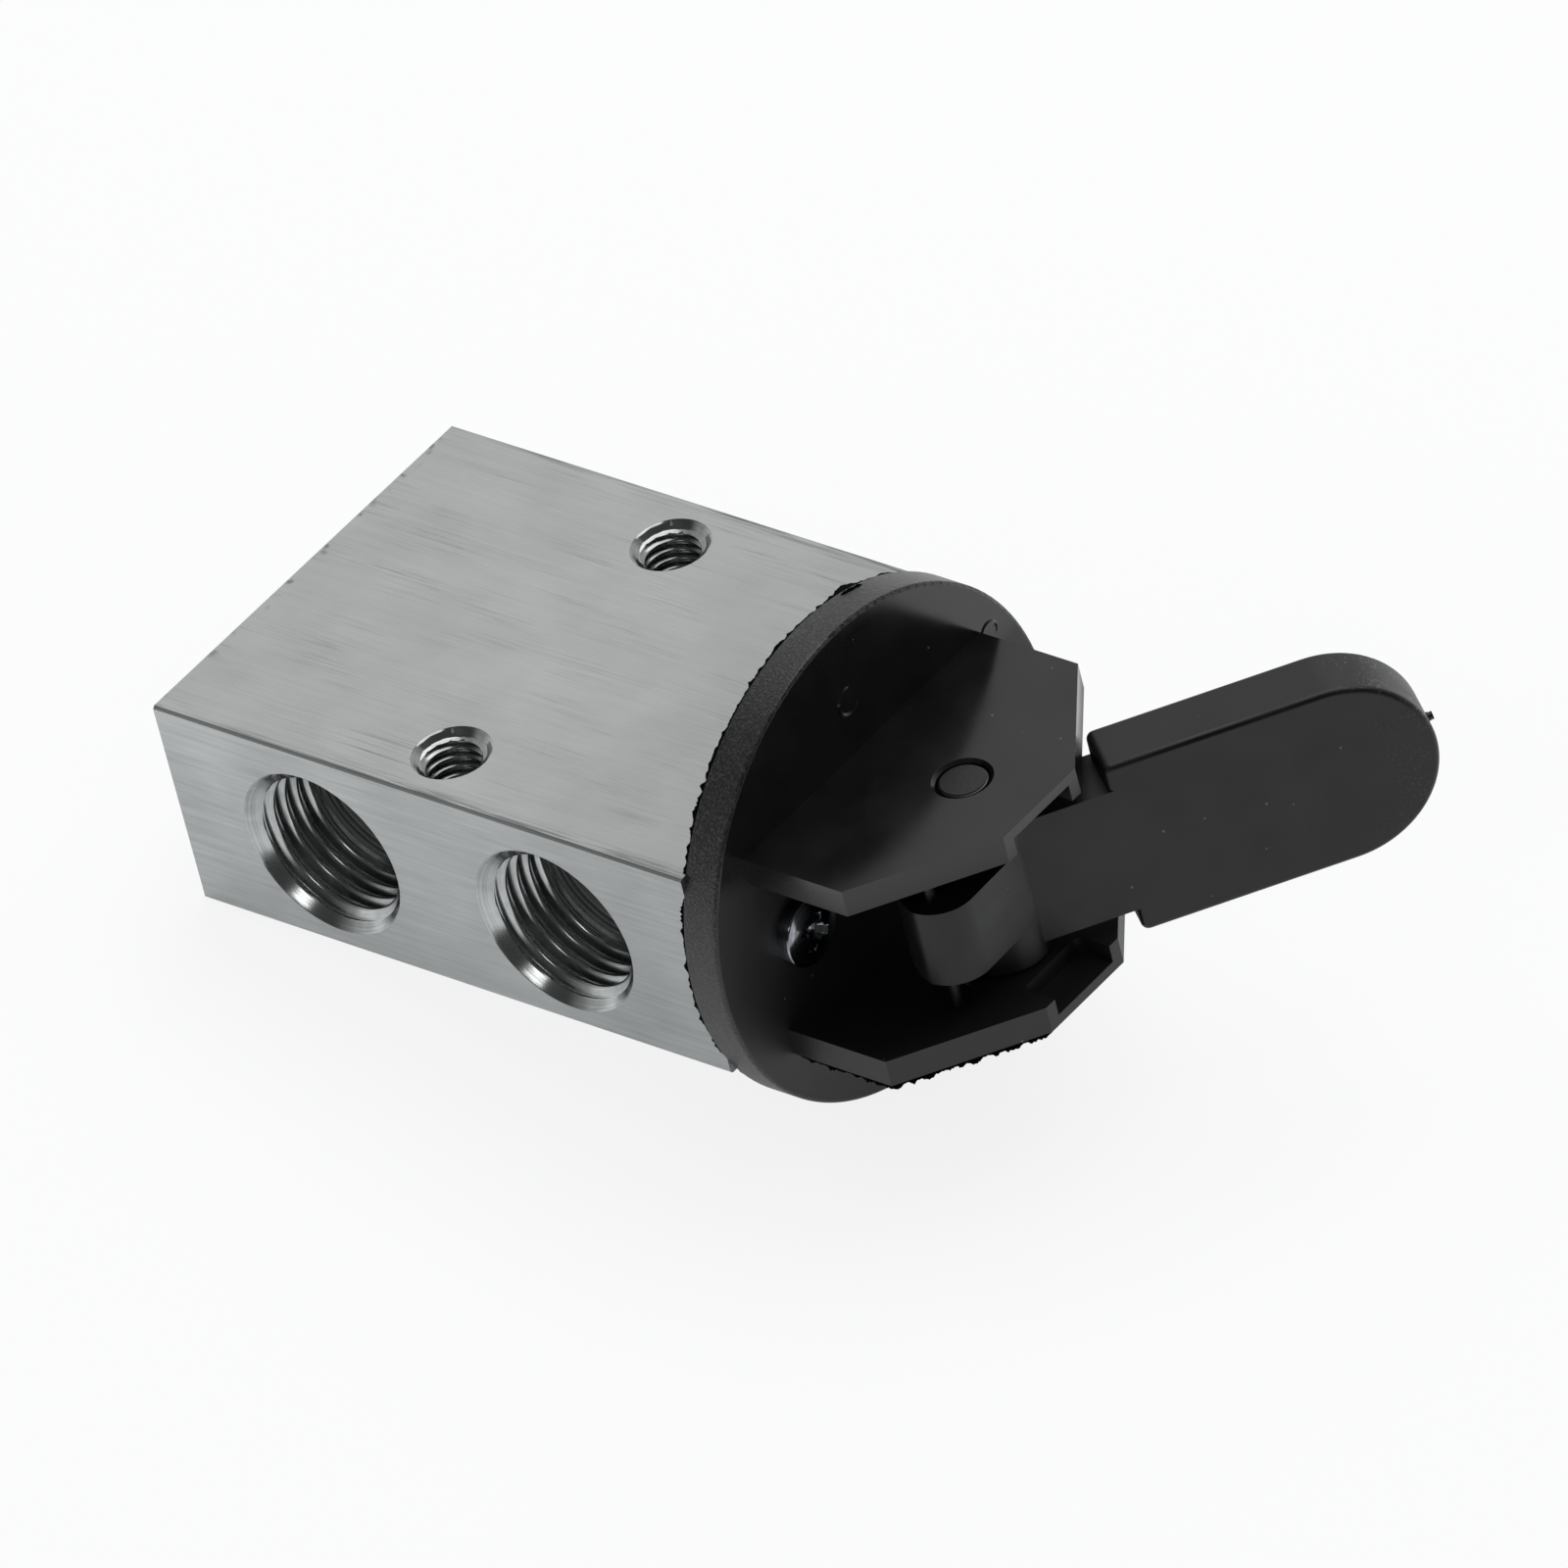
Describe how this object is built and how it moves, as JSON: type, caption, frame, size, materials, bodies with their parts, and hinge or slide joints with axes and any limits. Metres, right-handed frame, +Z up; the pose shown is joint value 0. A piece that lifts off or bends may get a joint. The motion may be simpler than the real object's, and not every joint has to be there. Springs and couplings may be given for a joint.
{
  "type": "hand lever air valve",
  "caption": "Hand lever air valve: aluminium block with threaded ports, through mounting holes and a spool that a swinging plastic lever pushes in with a cam",
  "frame": {"origin": "middle between the two mounting holes, on the top face of the block", "axes": "+X along the spool towards the lever, +Y away from the ports, +Z up out of the block's top face"},
  "size_m": [0.0818, 0.047, 0.038],
  "materials": {
    "block_aluminium": "drawn bar, lengthwise brushed",
    "turned_aluminium": "turned",
    "ground_steel": "ground",
    "sintered_bronze": "sintered, porous",
    "spring_steel": "drawn",
    "zinc_plated_steel": "bright zinc plated",
    "black_rubber": "moulded",
    "dark_acetal": "machined",
    "black_nylon": "moulded in a blasted mould",
    "black_pin": "moulded"
  },
  "bodies": {
    "valve": {"valve_body": "block_aluminium", "end_plug": "turned_aluminium", "exhaust_filter": "sintered_bronze", "retaining_ring": "spring_steel", "return_spring": "spring_steel", "seal_rear": "black_rubber", "outlet_cage": "dark_acetal", "seal_middle": "black_rubber", "supply_cage": "dark_acetal", "seal_front": "black_rubber", "guide_bush": "dark_acetal", "stem_wiper": "black_rubber", "lever_bracket": "black_nylon", "bracket_screw_front": "zinc_plated_steel", "bracket_screw_rear": "zinc_plated_steel", "pivot_pin": "black_pin"},
    "plunger": {"spool": "ground_steel", "plunger_cap": "dark_acetal"},
    "lever": {"hand_lever": "black_nylon", "cam_pin": "spring_steel"}
  },
  "joints": [
    {"name": "lever_swing", "type": "hinge", "parent": "valve", "child": "lever", "pos_m": [0.0366, 0, -0.0088], "axis": [0, 0, 1], "range_deg": [-90, 0]},
    {"name": "plunger_slide", "type": "slide", "parent": "valve", "child": "plunger", "axis": [1, 0, 0], "range_m": [-0.0049, 0], "deforming": ["return_spring"]}
  ],
  "couplings": [
    {"joint": "lever_swing", "follows": "plunger_slide", "rad_per_m": 320.57}
  ]
}
